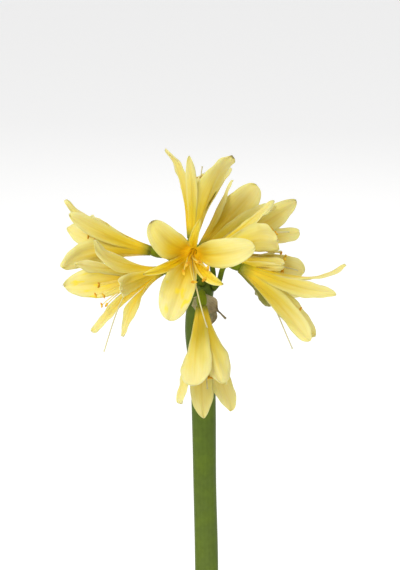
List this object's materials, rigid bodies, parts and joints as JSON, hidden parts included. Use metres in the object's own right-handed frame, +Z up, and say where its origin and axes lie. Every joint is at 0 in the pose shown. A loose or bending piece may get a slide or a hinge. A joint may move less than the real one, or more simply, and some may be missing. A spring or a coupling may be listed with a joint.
{
  "type": "potted clivia",
  "caption": "Clivia in flower in a plain clay pot: fans of strap leaves and an upright stem with a round head of pale yellow funnel flowers.",
  "frame": {"origin": "middle of the pot's underside, at floor level", "axes": "+Z up along the pot's axis and the flower stem; -Y is the front that the flower head's face looks towards; +X to the right seen from the front, along the two fans of leaves"},
  "size_m": [0.5906, 0.1786, 0.6716],
  "materials": {
    "terracotta": null,
    "potting_soil": null,
    "leaf": null,
    "stem": null,
    "stalk": null,
    "petal": null,
    "stamen": null,
    "style": null,
    "bract": null
  },
  "bodies": {
    "root": {"back_bract": "bract", "flower_stem": "stem", "front_floret_stalk": "stalk", "front_floret_stamens": "stamen", "front_floret_style": "style", "front_floret_tepals": "petal", "hanging_floret_stalk": "stalk", "hanging_floret_stamens": "stamen", "hanging_floret_style": "style", "hanging_floret_tepals": "petal", "high_left_floret_stalk": "stalk", "high_left_floret_stamens": "stamen", "high_left_floret_style": "style", "high_left_floret_tepals": "petal", "high_right_floret_stalk": "stalk", "high_right_floret_stamens": "stamen", "high_right_floret_style": "style", "high_right_floret_tepals": "petal", "left_bract": "bract", "left_leaf_1": "leaf", "left_leaf_2": "leaf", "left_leaf_3": "leaf", "left_leaf_4": "leaf", "left_leaf_5": "leaf", "left_leaf_6": "leaf", "low_left_floret_stalk": "stalk", "low_left_floret_stamens": "stamen", "low_left_floret_style": "style", "low_left_floret_tepals": "petal", "low_right_floret_stalk": "stalk", "low_right_floret_stamens": "stamen", "low_right_floret_style": "style", "low_right_floret_tepals": "petal", "pot": "terracotta", "potting_soil": "potting_soil", "right_bract": "bract", "right_floret_stalk": "stalk", "right_floret_stamens": "stamen", "right_floret_style": "style", "right_floret_tepals": "petal", "right_leaf_1": "leaf", "right_leaf_2": "leaf", "right_leaf_3": "leaf", "right_leaf_4": "leaf", "right_leaf_5": "leaf", "right_leaf_6": "leaf", "top_floret_stalk": "stalk", "top_floret_stamens": "stamen", "top_floret_style": "style", "top_floret_tepals": "petal", "upper_right_floret_stalk": "stalk", "upper_right_floret_stamens": "stamen", "upper_right_floret_style": "style", "upper_right_floret_tepals": "petal"}
  },
  "joints": []
}
